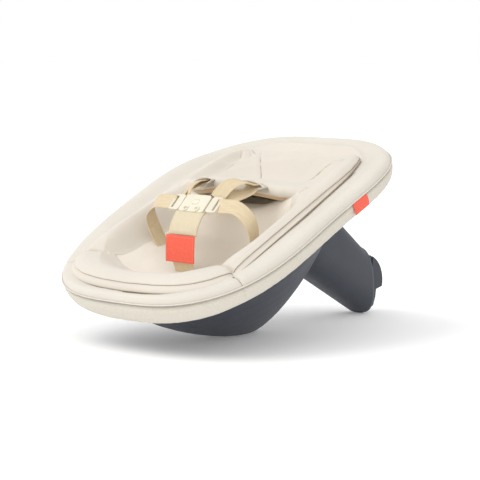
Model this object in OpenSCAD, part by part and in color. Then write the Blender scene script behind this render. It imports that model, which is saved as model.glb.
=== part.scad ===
// Newborn bouncer seat: deep plastic shell with a plug-in neck, padded cover,
// newborn insert and five-point harness. Millimetres. +Z is up, -Y is the foot
// end, +Y is the head end, X = 0 is the plane of symmetry.

/* [Rim] */
// Half the width of the rim, measured to the piping seam
rim_half_width = 240; // [200:1:280]
// Half the length of the rim, measured to the piping seam
rim_half_length = 300; // [260:1:340]
// Height of the middle of the rim above the floor
rim_height = 213; // [200:1:240]
// Backward tilt of the rim in degrees
recline = 24.5; // [10:0.5:35]

/* [Shell] */
// Wall thickness of the seat shell
shell_wall = 3.5; // [2.5:0.1:5]
// Half the width of the bowl where it leaves the flange
bowl_half_width = 184; // [160:1:210]
// Half the length of the bowl where it leaves the flange
bowl_half_length = 248; // [220:1:270]
// Depth of the bowl below its top ring
bowl_depth = 195; // [160:1:210]

/* [Neck] */
// Half the width of the neck at its outer end
neck_half_width = 42; // [35:1:50]
// Wall thickness of the neck
neck_wall = 4; // [3:0.1:6]

/* [Connector] */
// Thickness of the plug, side to side
plug_width = 60; // [50:1:66]
// Travel of the release button
button_travel = 4; // [2:0.5:6]

/* [Harness] */
// Width of the shoulder and lap webbing
webbing_width = 25; // [20:1:38]
// Thickness of the webbing
webbing_thickness = 2; // [1.2:0.1:3]

/* [Hidden] */
$fn = 48;

// Number of points round each ring of the big soft and moulded shapes
ring_steps = 72;
// Height the flattened foot of the bowl is pressed up to
foot_level = 0;
// Distance from the middle of the rim to the middle of the whole part, along Y
middle_shift = 65.5;

shell_colour = [0.20, 0.22, 0.27];
cream = [0.90, 0.87, 0.80];
canvas = [0.86, 0.83, 0.76];
webbing_colour = [0.86, 0.78, 0.62];
coral = [0.98, 0.36, 0.28];
steel = [0.72, 0.73, 0.75];

// ---- helpers ---------------------------------------------------------------

function mix(a, b, f) = a + (b - a) * f;
function power(v, p) = v == 0 ? 0 : sign(v) * pow(abs(v), p);

// Point of an oval at angle t: half axes a and b, squareness p, shifted by c in Y
function oval(t, a, b, p, c = 0) = [
  a * power(abs(cos(t)) < 1e-9 ? 0 : cos(t), 2 / p),
  c + b * power(abs(sin(t)) < 1e-9 ? 0 : sin(t), 2 / p)
];
function oval_ring(a, b, p, c, z, n = ring_steps) = [
  for (i = [0 : n - 1]) concat(oval(360 * i / n, a, b, p, c), z)
];

// From the rim's own frame (x, along the seat, out of the seat) to the row frame
function seat_point(p) = [
  p[0],
  p[1] * cos(recline) - p[2] * sin(recline),
  rim_height + p[1] * sin(recline) + p[2] * cos(recline)
];
function seat_points(list) = [for (p = list) seat_point(p)];
// Parts below are drawn about the middle of the rim and placed about the middle of the part
module placed() {
  translate([0, -middle_shift, 0])
    children();
}
module in_seat() {
  placed()
    translate([0, 0, rim_height])
      rotate([recline, 0, 0])
        children();
}

// Solid through a stack of rings with equal point counts, capped at both ends
module loft(rings) {
  n = len(rings[0]);
  m = len(rings);
  points = [for (r = rings) each r];
  walls = [
    for (j = [0 : m - 2]) for (i = [0 : n - 1])
      let (k = (i + 1) % n)
        each [
          [j * n + i, (j + 1) * n + i, (j + 1) * n + k],
          [j * n + i, (j + 1) * n + k, j * n + k]
        ]
  ];
  first = [for (i = [0 : n - 1]) i];
  last = [for (i = [n - 1 : -1 : 0]) (m - 1) * n + i];
  polyhedron(points, concat(walls, [first, last]), convexity = 6);
}

// Ring-shaped solid: the last section joins the first again
module loop(sections) {
  n = len(sections[0]);
  m = len(sections);
  points = [for (s = sections) each s];
  walls = [
    for (j = [0 : m - 1]) for (i = [0 : n - 1])
      let (k = (i + 1) % n, l = (j + 1) % m)
        each [
          [j * n + i, l * n + i, l * n + k],
          [j * n + i, l * n + k, j * n + k]
        ]
  ];
  polyhedron(points, walls, convexity = 6);
}

// Four-cornered strip along a path; across is the width direction at each point
function unit(v) = v / norm(v);
function path_dir(path, i) = unit(path[min(i + 1, len(path) - 1)] - path[max(i - 1, 0)]);
function strip_rings(path, across, width, thickness) = [
  for (i = [0 : len(path) - 1])
    let (
      along = path_dir(path, i),
      raw = across[i],
      side = unit(raw - along * (raw * along)),
      up = cross(side, along),
      w = side * width / 2,
      h = up * thickness / 2
    )
      [path[i] - w - h, path[i] + w - h, path[i] + w + h, path[i] - w + h]
];
module strip(path, across, width, thickness) {
  loft(strip_rings(path, across, width, thickness));
}

// Catmull-Rom curve through way points
function curve_point(a, b, c, d, t) = 0.5 * (
  2 * b + (c - a) * t + (2 * a - 5 * b + 4 * c - d) * t * t + (3 * b - a - 3 * c + d) * t * t * t
);
function curve(points, steps) = let (last = len(points) - 1) [
  for (i = [0 : last - 1]) for (s = [0 : steps - 1])
    curve_point(
      points[max(i - 1, 0)], points[i], points[i + 1], points[min(i + 2, last)], s / steps
    ),
  points[last]
];

// Padded strip with a rounded section, tapering to its ends
module roll(path, across, width, height) {
  count = len(path);
  corners = 12;
  loft([
    for (i = [0 : count - 1])
      let (
        f = i / (count - 1),
        grow = pow(max(1 - pow(abs(2 * f - 1), 8), 0.05), 0.5),
        along = path_dir(path, i),
        side = unit(across[i] - along * (across[i] * along)),
        up = cross(side, along)
      )
        [
          for (k = [0 : corners - 1])
            let (o = oval(360 * k / corners, width / 2, height / 2, 2.6))
              path[i] + (side * o[0] + up * o[1]) * grow
        ]
  ]);
}

// Slab between two surfaces given as grids of points, top above bottom
module slab(top, bottom) {
  rows = len(top);
  cols = len(top[0]);
  count = rows * cols;
  points = concat([for (r = top) each r], [for (r = bottom) each r]);
  faces = [
    for (j = [0 : rows - 2]) for (i = [0 : cols - 2])
      let (a = j * cols + i, b = a + 1, c = a + cols, d = c + 1)
        each [
          [a, c, d], [a, d, b],
          [count + a, count + d, count + c], [count + a, count + b, count + d]
        ]
  ];
  edge = concat(
    [for (i = [0 : cols - 1]) i],
    [for (j = [1 : rows - 1]) j * cols + cols - 1],
    [for (i = [cols - 2 : -1 : 0]) (rows - 1) * cols + i],
    [for (j = [rows - 2 : -1 : 1]) j * cols]
  );
  sides = [
    for (e = [0 : len(edge) - 1])
      let (p = edge[e], q = edge[(e + 1) % len(edge)])
        each [[p, q, count + q], [p, count + q, count + p]]
  ];
  polyhedron(points, concat(faces, sides), convexity = 6);
}

// ---- plastic shell -----------------------------------------------------------

bowl_shift = -25;
bowl_top = -26;
bowl_sharpness = 1.3;
function bowl_scale(s) = pow(max(1 - pow(s, bowl_sharpness), 0), 1 / bowl_sharpness);
bowl_levels = [0, 0.08, 0.17, 0.28, 0.4, 0.52, 0.63, 0.73, 0.81, 0.87, 0.92, 0.96, 0.985, 0.997];
function bowl_ring(s, inset, floor_z) = [
  for (p = oval_ring(
    max(bowl_half_width * bowl_scale(s) - inset, 1.2),
    max(bowl_half_length * bowl_scale(s) - inset, 1.6),
    2, bowl_shift, bowl_top - bowl_depth * s + (inset > 0 ? inset * 1.35 * s : 0)
  ))
    let (q = seat_point(p)) [q[0], q[1], max(q[2], floor_z)]
];

flange_top = -9.5;
flange_bottom = -12.5;
module seat_shell() {
  color(shell_colour)
    placed()
      loft(concat(
        [
          for (k = [len(bowl_levels) - 1 : -1 : 0])
            bowl_ring(bowl_levels[k], shell_wall, foot_level + shell_wall)
        ],
        [
          seat_points(oval_ring(188, 251, 2.1, bowl_shift + 1, -19)),
          seat_points(oval_ring(194, 258, 2.3, bowl_shift + 4, flange_top)),
          seat_points(oval_ring(226, 286, 2.9, 0, flange_top)),
          seat_points(oval_ring(228, 288, 2.9, 0, -11)),
          seat_points(oval_ring(226, 286, 2.9, 0, flange_bottom)),
          seat_points(oval_ring(198, 262, 2.3, bowl_shift + 4, flange_bottom)),
          seat_points(oval_ring(192, 255, 2.1, bowl_shift + 1, -20))
        ],
        [
          for (k = [0 : len(bowl_levels) - 1])
            bowl_ring(bowl_levels[k], 0, foot_level)
        ]
      ));
}

// ---- neck --------------------------------------------------------------------

// The neck's outer end lies in a nearly upright plane
neck_end_top = [349, 129];
neck_end_bottom = [362, 0];
// Where its top and bottom edges would reach inside the bowl
neck_root_top = [190, 252];
neck_root_bottom = [120, 133];
neck_root_half_width = 52;
neck_steps = 48;

function neck_section(top, bottom, half_width, inset) = [
  for (i = [0 : neck_steps - 1])
    let (
      middle = (top + bottom) / 2,
      half = (top - bottom) / 2,
      o = oval(360 * i / neck_steps, half_width - inset, norm(half) - inset, 2.7),
      dir = unit(half)
    )
      [o[0], middle[0] + dir[0] * o[1], middle[1] + dir[1] * o[1]]
];
// Above 1 outside the bowl, below 1 inside it
function bowl_side(p) =
  let (
    y = p[1],
    z = p[2] - rim_height,
    v = y * cos(recline) + z * sin(recline),
    n = -y * sin(recline) + z * cos(recline),
    r = sqrt(pow(p[0] / bowl_half_width, 2) + pow((v - bowl_shift) / bowl_half_length, 2)),
    s = max((bowl_top - n) / bowl_depth, 0)
  )
    pow(r, bowl_sharpness) + pow(s, bowl_sharpness);
function bowl_hit(inner, outer, rounds = 18) =
  let (half = (inner + outer) / 2)
    rounds == 0 ? half
    : bowl_side(half) > 1.012 ? bowl_hit(inner, half, rounds - 1)
    : bowl_hit(half, outer, rounds - 1);
function neck_root(end, root) = [for (i = [0 : len(end) - 1]) bowl_hit(root[i], end[i])];

module neck_tube() {
  end_out = neck_section(neck_end_top, neck_end_bottom, neck_half_width, 0);
  end_in = neck_section(neck_end_top, neck_end_bottom, neck_half_width, neck_wall);
  root_out = neck_section(neck_root_top, neck_root_bottom, neck_root_half_width, 0);
  root_in = neck_section(neck_root_top, neck_root_bottom, neck_root_half_width, neck_wall);
  color(shell_colour)
    placed()
      loop([end_out, neck_root(end_out, root_out), neck_root(end_in, root_in), end_in]);
}

// Trim ring closing the end of the neck, with a small bevel
collar_length = 6;
collar_gap = 0.4;
module neck_collar() {
  outer = neck_section(neck_end_top, neck_end_bottom, neck_half_width, 0.2);
  bevel = neck_section(neck_end_top, neck_end_bottom, neck_half_width, 1.8);
  inner = neck_section(neck_end_top, neck_end_bottom, neck_half_width, neck_wall);
  function moved(ring, y) = [for (p = ring) [p[0], p[1] + y, max(p[2], foot_level)]];
  color(shell_colour)
    placed()
      loop([
        moved(outer, collar_length - 1.5),
        moved(outer, collar_gap),
        moved(inner, collar_gap),
        moved(inner, collar_length),
        moved(bevel, collar_length)
      ]);
}

// Plate inside the neck that the plug is screwed to, and its four screws
screw_spots = [[-20, 100], [20, 100], [-20, 44], [20, 44]];
screw_face = 330;
plate_thickness = 3;
module at_screws() {
  for (s = screw_spots)
    translate([s[0], screw_face, s[1]])
      rotate([90, 0, 0])
        children();
}
module mount_plate() {
  color(steel)
    placed()
      difference() {
        translate([0, screw_face, 0])
          rotate([90, 0, 0])
            linear_extrude(height = plate_thickness)
              polygon([
                [-26, 34], [26, 34], [34, 46], [34, 106], [26, 120], [-26, 120], [-34, 106], [-34, 46]
              ]);
        at_screws()
          translate([0, 0, -1])
            cylinder(h = plate_thickness + 2, r = 2.2);
      }
}
module neck_screws() {
  color(steel)
    placed()
      at_screws() {
        translate([0, 0, -14])
          cylinder(h = 14 + plate_thickness + 0.1, r = 1.9);
        translate([0, 0, plate_thickness])
          difference() {
            cylinder(h = 2.4, r = 4);
            translate([0, 0, 1.2])
              cylinder(h = 2, r = 1.5, $fn = 6);
          }
      }
}

// ---- connector -----------------------------------------------------------------

plug_centre = [348, 62];
plug_radius = 52;
pin_spot = [366, 52];
pin_radius = 3;
bolt_height = 75;
bolt_half = [11, 5];
bolt_back = 352;
bolt_nose = 408;
bolt_ramp = 372;
bore_clear = 0.4;
button_spot = [376, 75];
button_radius = 9.5;
// The button's bore opens into the bolt's room, this far from the middle
bore_end = 9;
// Stepped half-round outline of the plug beyond the collar
module plug_outline() {
  intersection() {
    translate(plug_centre)
      circle(r = plug_radius);
    polygon([
      [370, 4], [361, 120], [402, 120], [402, 51], [381, 46], [379, 32], [373, 18]
    ]);
  }
}
// Narrower core that reaches back inside the neck to the mounting plate
plug_core_half = 22;
plug_core_bottom = 30;
plug_core_top = 106;
module plug_core() {
  translate([-plug_core_half, screw_face, plug_core_bottom])
    cube([2 * plug_core_half, 44, plug_core_top - plug_core_bottom]);
}
// Extrudes an outline drawn in (Y, Z) across X, centred
module across_x(width) {
  translate([-width / 2, 0, 0])
    rotate([90, 0, 90])
      linear_extrude(height = width)
        children();
}
module plug_body() {
  color(shell_colour)
    placed()
      difference() {
        union() {
          across_x(plug_width)
            plug_outline();
          plug_core();
        }
        // room for the bolt and its spring
        translate([-bolt_half[0] - bore_clear, 334, bolt_height - bolt_half[1] - bore_clear])
          cube([2 * (bolt_half[0] + bore_clear), 80, 2 * (bolt_half[1] + bore_clear)]);
        // cross hole for the pin
        translate([-plug_width / 2 - 1, pin_spot[0], pin_spot[1]])
          rotate([0, 90, 0])
            cylinder(h = plug_width + 2, r = pin_radius + 0.02);
        // groove on each side that takes the rim of the chair's socket
        for (side = [-1, 1])
          translate([side * plug_width / 2 - 5, 366, 88])
            cube([10, 4, 40]);
        at_screws()
          translate([0, 0, -16])
            cylinder(h = 17, r = 1.92);
        // bore for the release button
        translate([-plug_width / 2 - 1, button_spot[0], button_spot[1]])
          rotate([0, 90, 0])
            cylinder(h = plug_width / 2 + 1 - bore_end, r = button_radius + bore_clear);
      }
}
module plug_pin() {
  length = plug_width - 8;
  color(steel)
    placed()
      translate([-length / 2, pin_spot[0], pin_spot[1]])
        rotate([0, 90, 0])
          cylinder(h = length, r = pin_radius);
}
// Sliding bolt: bevelled nose at the back, a ramp in its left side for the button
module latch_bolt() {
  color(steel)
    placed()
      translate([0, 0, bolt_height - bolt_half[1]])
        linear_extrude(height = 2 * bolt_half[1])
          polygon([
            [-bolt_half[0], bolt_back], [bolt_half[0], bolt_back],
            [bolt_half[0], bolt_nose - 7], [bolt_half[0] - 5, bolt_nose],
            [-bolt_half[0] + 5, bolt_nose], [-bolt_half[0], bolt_nose - 7],
            [-bolt_half[0], bolt_ramp + 22.5], [-3, bolt_ramp + 22.5],
            [-3, bolt_ramp + 2 * (bolt_half[0] - 3)], [-bolt_half[0], bolt_ramp]
          ]);
}
// Push button whose wedge draws the bolt back twice as far as it is pressed
module release_button() {
  reach = 14;
  color(shell_colour)
    placed() {
      translate([-plug_width / 2 - button_travel - 0.5, button_spot[0], button_spot[1]])
        rotate([0, 90, 0])
          cylinder(h = plug_width / 2 + button_travel + 0.5 - reach, r = button_radius);
      translate([0, 0, button_spot[1] - 4])
        linear_extrude(height = 8)
          polygon([
            [-reach - 0.1, bolt_ramp - 4],
            [-8, bolt_ramp + 0.4 + 2 * (bolt_half[0] - 8)],
            [-8, bolt_ramp + 12],
            [-reach - 0.1, bolt_ramp + 12]
          ]);
    }
}
spring_radius = 3.6;
spring_wire = 0.5;
spring_turns = 6;
spring_start = 334.3;
module latch_spring() {
  length = bolt_back - 0.3 - spring_start - 2 * spring_wire;
  steps = spring_turns * 14;
  color(steel)
    placed()
      loft([
        for (i = [0 : steps])
          let (a = 360 * spring_turns * i / steps, y = spring_start + spring_wire + length * i / steps)
            [
              for (k = [0 : 5])
                let (r = spring_radius + spring_wire * cos(60 * k))
                  [r * cos(a), y + spring_wire * sin(60 * k), bolt_height + r * sin(a)]
            ]
      ]);
}

// ---- padded cover --------------------------------------------------------------

// Half axes of the opening in the cover's top band
opening_half_width = 188;
opening_half_length = 276;
oval_power = 3;

// Point on the band: f is 0 at the piping seam and 1 at the opening
function band_point(t, f, n) = [
  for (q = [mix(
    oval(t, rim_half_width, rim_half_length, oval_power),
    oval(t, opening_half_width, opening_half_length, oval_power), f
  )]) each [q[0], q[1], n]
];
function outside_point(t, d, n) =
  let (q = oval(t, rim_half_width + d, rim_half_length + d, oval_power)) [q[0], q[1], n];

band_section = [
  [0.02, 0.6], [0.06, 7], [0.16, 11.5], [0.3, 11], [0.5, 8.6], [0.85, 8], [0.98, 6],
  [1, 0], [0.98, -7], [0.5, -8.5], [0.24, -8.5], [0.2, -2.2], [0.02, -2.2]
];
module cover_rim() {
  color(cream)
    placed()
      loop([
        for (i = [0 : ring_steps - 1])
          seat_points([for (s = band_section) band_point(360 * i / ring_steps, s[0], s[1])])
      ]);
}

// Lower band of the cover, gathered under the flange with an elastic hem
function skirt_drop(t) = 30 + 12 * pow(max(-sin(t), 0), 3);
function skirt_section(t) =
  let (drop = skirt_drop(t)) [
    [0, -2.6], [-1, -0.5 * drop], [-5, -0.85 * drop], [-16, -drop], [-20, -drop - 4],
    [-22, -drop - 1], [-8, -0.8 * drop], [-3.4, -0.5 * drop], [-2.6, -2.6]
  ];
module cover_skirt() {
  color(canvas)
    placed()
      loop([
        for (i = [0 : ring_steps - 1])
          let (t = 360 * i / ring_steps)
            seat_points([for (s = skirt_section(t)) outside_point(t, s[0], s[1])])
      ]);
}

// Piping cord sewn into the seam between the two bands
piping_radius = 1.9;
module cover_piping() {
  color(cream)
    placed()
      loop([
        for (i = [0 : ring_steps - 1])
          seat_points([
            for (k = [0 : 7])
              outside_point(
                360 * i / ring_steps,
                2.4 + piping_radius * cos(-45 * k), piping_radius * sin(-45 * k)
              )
          ])
      ]);
}

// Height of the cover's inner face in the seat, and of the insert that lies on it
dish_depth = 66;
dish_edge = 4;
dish_centre = -25;
dish_half_width = 180;
dish_to_foot = 240;
dish_to_head = 258;
function dish(x, v) =
  let (
    reach = v < dish_centre ? dish_to_foot : dish_to_head,
    r = pow(x / dish_half_width, 2) + pow((v - dish_centre) / reach, 2)
  )
    dish_edge - dish_depth * pow(max(1 - r, 0), 0.8);
function smooth(f) = let (c = min(max(f, 0), 1)) c * c * (3 - 2 * c);
// Half the width of an oval opening at distance v along the seat
function half_at(v, a, b) = a * pow(max(1 - pow(abs(v) / b, oval_power), 0.001), 1 / oval_power);

function panel_grid(from, to, rows, cols, a, b, lift) = [
  for (j = [0 : rows])
    let (v = mix(from, to, j / rows), w = half_at(v, a, b))
      [
        for (i = [0 : cols])
          let (x = mix(-w, w, i / cols)) seat_point([x, v, dish(x, v) + lift])
      ]
];
module panel(from, to, a, b, low, high, rows = 16, cols = 24) {
  slab(
    panel_grid(from, to, rows, cols, a, b, high),
    panel_grid(from, to, rows, cols, a, b, low)
  );
}
module seat_panel() {
  color(cream)
    placed()
      panel(-268, -20.5, 183, 272, -6, 0);
}
module back_panel() {
  color(cream)
    placed()
      panel(-19.5, 268, 183, 272, -6, 0);
}

// ---- newborn insert --------------------------------------------------------------

// The pad thins towards its upper end, where the head pad covers it
insert_end = 130;
function insert_lift(v) =
  12 + 16 * smooth((v + 10) / 60) * (1 - smooth((v - 60) / 50)) - 5 * smooth((v - 40) / 40);
function insert_half(v) = min(half_at(v, 150, 262), 150 - 0.16 * max(v - 40, 0));
function insert_grid(rows, cols, top) = [
  for (j = [0 : rows])
    let (v = mix(-236, insert_end, j / rows), w = insert_half(v))
      [
        for (i = [0 : cols])
          let (x = mix(-w, w, i / cols))
            seat_point([x, v, dish(x, v) + (top ? insert_lift(v) : 1.5)])
      ]
];
module insert_pad() {
  color(cream)
    placed()
      slab(insert_grid(20, 24, true), insert_grid(20, 24, false));
}

roll_height = 18.2;
foot_way = [
  [-177, -200], [-160, -234], [-110, -255], [0, -262], [110, -255], [160, -234], [177, -200]
];
side_way = [
  [176, -184], [172, -100], [170, 0], [165, 80], [154, 150], [138, 200], [122, 224]
];
function lifted(way, n) = [for (p = way) [p[0], p[1], n]];
function flat_across(path) = [
  for (i = [0 : len(path) - 1])
    let (d = path_dir(path, i)) [d[1], -d[0], 0]
];
module insert_roll(way, width, height) {
  path = curve(lifted(way, roll_height), 6);
  color(cream)
    in_seat()
      roll(path, flat_across(path), width, height);
}
module insert_foot_roll() {
  insert_roll(foot_way, 28, 17);
}
module insert_side_right() {
  insert_roll(side_way, 30, 17);
}
module insert_side_left() {
  mirror([1, 0, 0])
    insert_side_right();
}

// ---- head pad and shoulder yoke ----------------------------------------------------

// The pad falls from the yoke into the back of the dish, then runs out to the rim
head_from = 62;
head_to = 268;
head_fall = 115;
head_half = 124;
head_rim_top = 8.6;
function dish_share(x, v) = min(max((dish_edge - dish(x, v)) / 14, 0), 1);
function head_fallen(v) = smooth((v - head_from) / head_fall);
function head_line(x) = mix(34 - 8 * pow(x / 130, 2), head_rim_top, smooth((abs(x) - 118) / 24));
function head_top(x, v) =
  mix(head_line(x), dish(x, v) + 5.2 + 7.6 * dish_share(x, v), head_fallen(v));
function head_thick(x, v) = 1.6 + 8.2 * max(dish_share(x, v), 1 - head_fallen(v));
function head_width(v) = mix(head_half, half_at(v, 180, 272), smooth((v - 140) / 40));
function head_grid(rows, cols, bottom) = [
  for (j = [0 : rows])
    let (v = mix(head_from, head_to, j / rows), w = head_width(v))
      [
        for (i = [0 : cols])
          let (x = mix(-w, w, i / cols))
            seat_point([x, v, head_top(x, v) - (bottom ? head_thick(x, v) : 0)])
      ]
];
module head_pad() {
  color(cream)
    placed()
      slab(head_grid(24, 32, false), head_grid(24, 32, true));
}

// Padded yoke across the chest end of the head pad; the shoulder straps leave it
yoke_way = [
  [-126, 56, 30], [-90, 44, 36], [-45, 38, 42], [0, 37, 44], [45, 38, 42], [90, 44, 36], [126, 56, 30]
];
module shoulder_yoke() {
  path = curve(yoke_way, 6);
  color(cream)
    in_seat()
      roll(path, [for (p = path) [0, -1, 0.25]], 24, 20);
}

// Bound edges of the two openings the shoulder straps come out of
slot_spots = [-58, 58];
slot_v = 18;
slot_n = 47;
module binding() {
  difference() {
    cube([40, 5, 9], center = true);
    cube([webbing_width + 4, 7, 4], center = true);
  }
}
module strap_bindings() {
  color(cream)
    in_seat()
      for (x = slot_spots)
        translate([x, slot_v, slot_n])
          rotate([0, 0, x > 0 ? -14 : 14])
            binding();
}

// ---- harness -------------------------------------------------------------------------

buckle_v = -63;
buckle_n = 56;
buckle_tilt = 20;
module at_buckle() {
  in_seat()
    translate([0, buckle_v, buckle_n])
      rotate([buckle_tilt, 0, 0])
        children();
}
function from_buckle(p) = [
  p[0],
  buckle_v + p[1] * cos(buckle_tilt) - p[2] * sin(buckle_tilt),
  buckle_n + p[1] * sin(buckle_tilt) + p[2] * cos(buckle_tilt)
];
module rounded_block(size, r) {
  linear_extrude(height = size[2])
    union() {
      square([size[0] - 2 * r, size[1]], center = true);
      square([size[0], size[1] - 2 * r], center = true);
      for (x = [-1, 1], y = [-1, 1])
        translate([x * (size[0] / 2 - r), y * (size[1] / 2 - r)])
          circle(r = r);
    }
}
body_size = [58, 38, 7];
tongue_gap = 0.4;
button_size = [14, 10];
grip_height = 2.8;
module buckle_body() {
  color(cream)
    at_buckle()
      difference() {
        translate([0, 0, -7])
          rounded_block(body_size, 6);
        // two sockets for the tongues
        for (side = [-1, 1])
          translate([side * 19 - 11, -8, -4.6])
            cube([22, 16, 4.7]);
        // slot for the crotch webbing
        translate([-15, -17, -8])
          cube([30, 4, 9]);
        // seat of the button
        translate([0, 3, -5])
          rounded_block([button_size[0] + 1, button_size[1] + 1, 6], 3.5);
      }
}
module buckle_cover() {
  color(cream)
    at_buckle()
      translate([0, 0, 0.1])
        difference() {
          rounded_block([58, 38, 3.4], 6);
          translate([0, 3, -1])
            rounded_block([button_size[0] + 1, button_size[1] + 1, 6], 3.5);
        }
    // a C-shaped finger grip each side of the middle, on the front edge
    at_buckle()
      for (side = [-1, 1])
        translate([side * 13, -13.2, 3])
          difference() {
            cylinder(h = grip_height, r = 5.6);
            translate([0, 0, -1])
              cylinder(h = grip_height + 2, r = 3.2);
            translate([side > 0 ? -9 : 0, -1.6, 0.4])
              cube([9, 3.2, grip_height]);
          }
}
module buckle_button() {
  color(cream)
    at_buckle()
      translate([0, 3, -1.4])
        rounded_block([button_size[0], button_size[1], 5.1], 3);
}
// Blade that goes into the body, and the grip with the slot for the webbing
module tongue_right() {
  color(cream)
    at_buckle()
      difference() {
        union() {
          translate([9.5, -8 + tongue_gap, -4.2])
            cube([30, 16 - 2 * tongue_gap, 3.9]);
          translate([44, 1, -6])
            rounded_block([24, 34, 8.4], 5);
        }
        translate([46, -12, -7])
          cube([5, 26, 12]);
      }
}
module tongue_left() {
  mirror([1, 0, 0])
    tongue_right();
}

// Straps stop short of the tongues, so that the tongues can be drawn out
lap_way = [[80, -63, 53], [103, -64, 47], [117, -65, 30], [118, -67, 8], [107, -71, -19]];
shoulder_way = [[46, -38, 68], [60, -18, 74], [64, 0, 65], [60, 8, 58]];
module webbing(way, across, steps = 6) {
  path = curve(way, steps);
  color(webbing_colour)
    in_seat()
      strip(
        path,
        [for (i = [0 : len(path) - 1]) mix(across[0], across[1], i / (len(path) - 1))],
        webbing_width, webbing_thickness
      );
}
module lap_strap_right() {
  webbing(lap_way, [[0, 1, 0.3], [0, 1, 0.1]]);
}
module lap_strap_left() {
  mirror([1, 0, 0])
    lap_strap_right();
}
module shoulder_strap_right() {
  webbing(shoulder_way, [[1, -0.3, 0.1], [1, 0, 0]]);
}
module shoulder_strap_left() {
  mirror([1, 0, 0])
    shoulder_strap_right();
}

// Crotch strap from the insert up to the buckle, with its pad and label in front
crotch_width = 48;
crotch_way = [[0, -133, -33], [0, -132, -14], [0, -118, 12], [0, -98, 32], [0, -84, 41.5]];
module facing_strip(way, width, thickness) {
  path = curve(way, 6);
  in_seat()
    strip(path, [for (p = path) [1, 0, 0]], width, thickness);
}
module crotch_strap() {
  color(webbing_colour)
    facing_strip(crotch_way, crotch_width, webbing_thickness);
}
module crotch_pad() {
  color(cream)
    facing_strip([[0, -114, 26], [0, -103, 37], [0, -88, 46.5]], 68, 5);
}
module crotch_label() {
  color(coral)
    facing_strip([[0, -139, -15], [0, -134.5, 2], [0, -127, 15], [0, -117.5, 25.5]], 68, 1);
}

// Plastic bar locks that hold the strap ends under the seat panel
anchor_spots = [[104, -72], [-104, -72], [0, -139], [58, 44], [-58, 44]];
anchor_drop = 22;
module strap_anchors() {
  color(shell_colour)
    in_seat()
      for (a = anchor_spots)
        translate([a[0], a[1], dish(a[0], a[1]) - anchor_drop])
          difference() {
            cube([34, 14, 4], center = true);
            for (y = [-3.5, 3.5])
              translate([0, y, 0])
                cube([28, 3, 6], center = true);
          }
}

// Small folded tag sewn into the piping seam, between two angles round the rim
tag_from = 5;
tag_to = 11.1;
tag_drop = 20;
module side_tag() {
  color(coral)
    placed()
      loft([
        for (k = [0 : 4])
          let (n = -2.6 - tag_drop * k / 4, d = 0.8 + 0.5 * sin(45 * k))
            seat_points([
              outside_point(tag_from, d, n), outside_point(tag_to, d, n),
              outside_point(tag_to, d + 1, n), outside_point(tag_from, d + 1, n)
            ])
      ]);
}

seat_shell();
neck_tube();
neck_collar();
mount_plate();
neck_screws();
plug_body();
plug_pin();
latch_bolt();
latch_spring();
release_button();
cover_rim();
cover_skirt();
cover_piping();
seat_panel();
back_panel();
insert_pad();
insert_foot_roll();
insert_side_left();
insert_side_right();
head_pad();
shoulder_yoke();
strap_bindings();
crotch_strap();
crotch_pad();
crotch_label();
buckle_body();
buckle_cover();
buckle_button();
tongue_left();
tongue_right();
lap_strap_left();
lap_strap_right();
shoulder_strap_left();
shoulder_strap_right();
strap_anchors();
side_tag();
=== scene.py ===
import math

import bpy
import numpy as np
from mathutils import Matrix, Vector


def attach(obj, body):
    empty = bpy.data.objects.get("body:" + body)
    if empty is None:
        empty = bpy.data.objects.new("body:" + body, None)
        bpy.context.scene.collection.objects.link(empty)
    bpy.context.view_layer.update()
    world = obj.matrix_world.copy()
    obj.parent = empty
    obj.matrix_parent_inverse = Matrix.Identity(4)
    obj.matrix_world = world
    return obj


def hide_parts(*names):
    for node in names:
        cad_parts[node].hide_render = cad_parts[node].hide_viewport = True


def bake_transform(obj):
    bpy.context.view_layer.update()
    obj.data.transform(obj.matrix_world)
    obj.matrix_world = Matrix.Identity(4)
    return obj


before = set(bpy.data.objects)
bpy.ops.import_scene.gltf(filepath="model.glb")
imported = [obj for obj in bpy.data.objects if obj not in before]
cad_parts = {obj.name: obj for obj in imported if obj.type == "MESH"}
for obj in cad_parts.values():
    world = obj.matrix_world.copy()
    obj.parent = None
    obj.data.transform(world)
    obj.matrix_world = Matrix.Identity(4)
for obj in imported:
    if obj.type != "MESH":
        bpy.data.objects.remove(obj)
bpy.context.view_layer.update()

# ---- frame of the seat ---------------------------------------------------------------
# Pieces are drawn in the rim's own frame, in millimetres: x across, v along the seat
# (+ is the head end), n out of the seat. seat() takes such points to the row frame.

MM = 0.001
RECLINE = math.radians(24.5)
RIM_HEIGHT = 213.0
MIDDLE_SHIFT = 65.5
RIM_HALF = (240.0, 300.0)
OPENING_HALF = (188.0, 276.0)
OVAL_POWER = 3.0
FULL_TURN = 2 * math.pi


def seat(points):
    """Rim-frame millimetres to row-frame metres."""
    p = np.asarray(points, float)
    x, v, n = p[..., 0], p[..., 1], p[..., 2]
    y = v * math.cos(RECLINE) - n * math.sin(RECLINE) - MIDDLE_SHIFT
    z = RIM_HEIGHT + v * math.sin(RECLINE) + n * math.cos(RECLINE)
    return np.stack([x, y, z], -1) * MM


def mix(a, b, f):
    """From a to b as f goes from 0 to 1."""
    return a + (b - a) * f


def smooth(f):
    """Soft step from 0 to 1."""
    c = np.clip(f, 0, 1)
    return c * c * (3 - 2 * c)


def signed_power(value, p):
    return np.sign(value) * np.abs(value) ** p


def oval(t, half, p=OVAL_POWER):
    """Point of a squarish oval at angle t, in radians."""
    return np.stack([
        half[0] * signed_power(np.cos(t), 2 / p),
        half[1] * signed_power(np.sin(t), 2 / p),
    ], -1)


def lengths(path):
    """Distance along a path at each of its points."""
    steps = np.linalg.norm(np.diff(path, axis=0), axis=1)
    return np.concatenate([[0], np.cumsum(steps)])


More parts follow.
